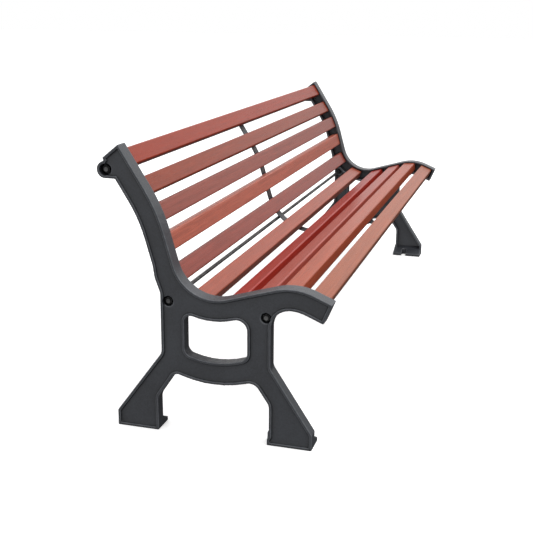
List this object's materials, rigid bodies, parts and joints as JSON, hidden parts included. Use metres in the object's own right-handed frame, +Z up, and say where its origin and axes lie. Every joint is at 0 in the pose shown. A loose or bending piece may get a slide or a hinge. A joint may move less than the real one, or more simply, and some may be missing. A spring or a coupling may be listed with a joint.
{
  "type": "garden bench",
  "caption": "Long garden bench with a back: cast end frames with splayed legs carry timber slats along one curved line from the top of the back to the front edge of the seat.",
  "frame": {"origin": "on the ground, in the middle of the bench's box in plan", "axes": "+X along the bench, to the right of someone facing its front; the front faces -Y; +Z up"},
  "size_m": [2.2, 0.6582, 0.812],
  "materials": {
    "cast_frame": "satin anthracite paint over a cast surface",
    "slat_wood": "mahogany stain, satin, fine straight grain",
    "strap_steel": "satin anthracite paint",
    "rod_steel": "dark zinc, dull",
    "nut_steel": "dark zinc",
    "screw_steel": "stainless"
  },
  "bodies": {
    "root": {"left_end_frame": "cast_frame", "right_end_frame": "cast_frame", "back_slat_1": "slat_wood", "back_slat_2": "slat_wood", "back_slat_3": "slat_wood", "back_slat_4": "slat_wood", "back_slat_5": "slat_wood", "bend_slat": "slat_wood", "seat_slat_1": "slat_wood", "seat_slat_2": "slat_wood", "seat_slat_3": "slat_wood", "front_slat": "slat_wood", "centre_strap": "strap_steel", "top_tie_rod": "rod_steel", "rear_tie_rod": "rod_steel", "front_tie_rod": "rod_steel", "outer_rod_nuts": "nut_steel", "outer_rod_washers": "nut_steel", "inner_rod_nuts": "nut_steel", "inner_rod_washers": "nut_steel", "left_slat_screws": "screw_steel", "left_screw_washers": "screw_steel", "right_slat_screws": "screw_steel", "right_screw_washers": "screw_steel", "centre_slat_screws": "screw_steel", "centre_screw_washers": "screw_steel"}
  },
  "joints": []
}
